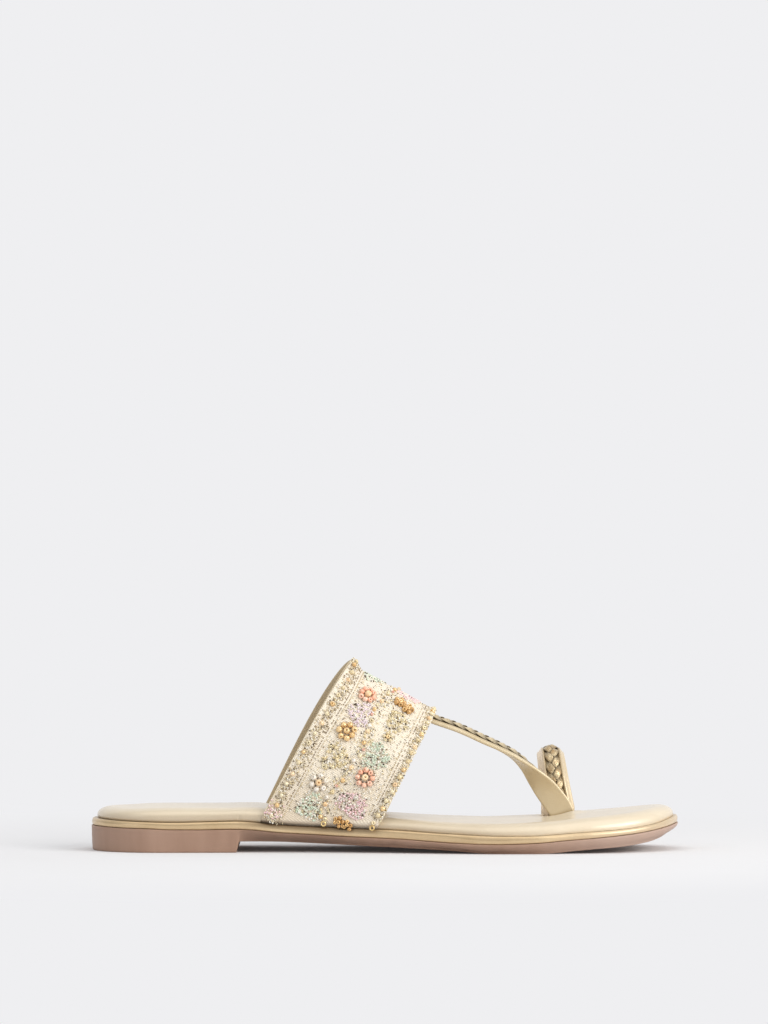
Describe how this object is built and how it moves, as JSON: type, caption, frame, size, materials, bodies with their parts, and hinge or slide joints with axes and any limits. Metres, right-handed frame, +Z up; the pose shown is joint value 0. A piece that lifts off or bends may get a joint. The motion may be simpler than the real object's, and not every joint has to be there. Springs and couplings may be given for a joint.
{
  "type": "kolhapuri sandal",
  "caption": "Flat slip-on sandal with a wide beaded instep band, a twisted toe strap and a loop round the big toe, on a padded footbed and a moulded sole with a low heel.",
  "frame": {"origin": "on the floor, at the middle of the sandal's footprint", "axes": "+X to the toe, +Y to the inner side of the foot, +Z up"},
  "size_m": [0.25, 0.0838, 0.0793],
  "materials": {
    "moulded_sole": "satin, rose taupe",
    "gold_rand": "soft metallic gold",
    "footbed_cover": "pearly cream",
    "beaded_fabric": "fine ribbed cream cloth",
    "strap_leather": "smooth pale gold",
    "gold_braid": "metallic gold",
    "band_lining": "matt taupe",
    "beads": "glossy, gold with pastel colours",
    "thread": "twisted pale gold thread"
  },
  "bodies": {
    "root": {"sole_unit": "moulded_sole", "rand": "gold_rand", "footbed": "footbed_cover", "instep_band": "beaded_fabric", "toe_strap": "strap_leather", "toe_strap_braid": "gold_braid", "toe_loop": "strap_leather", "toe_loop_braid": "gold_braid"}
  },
  "joints": []
}
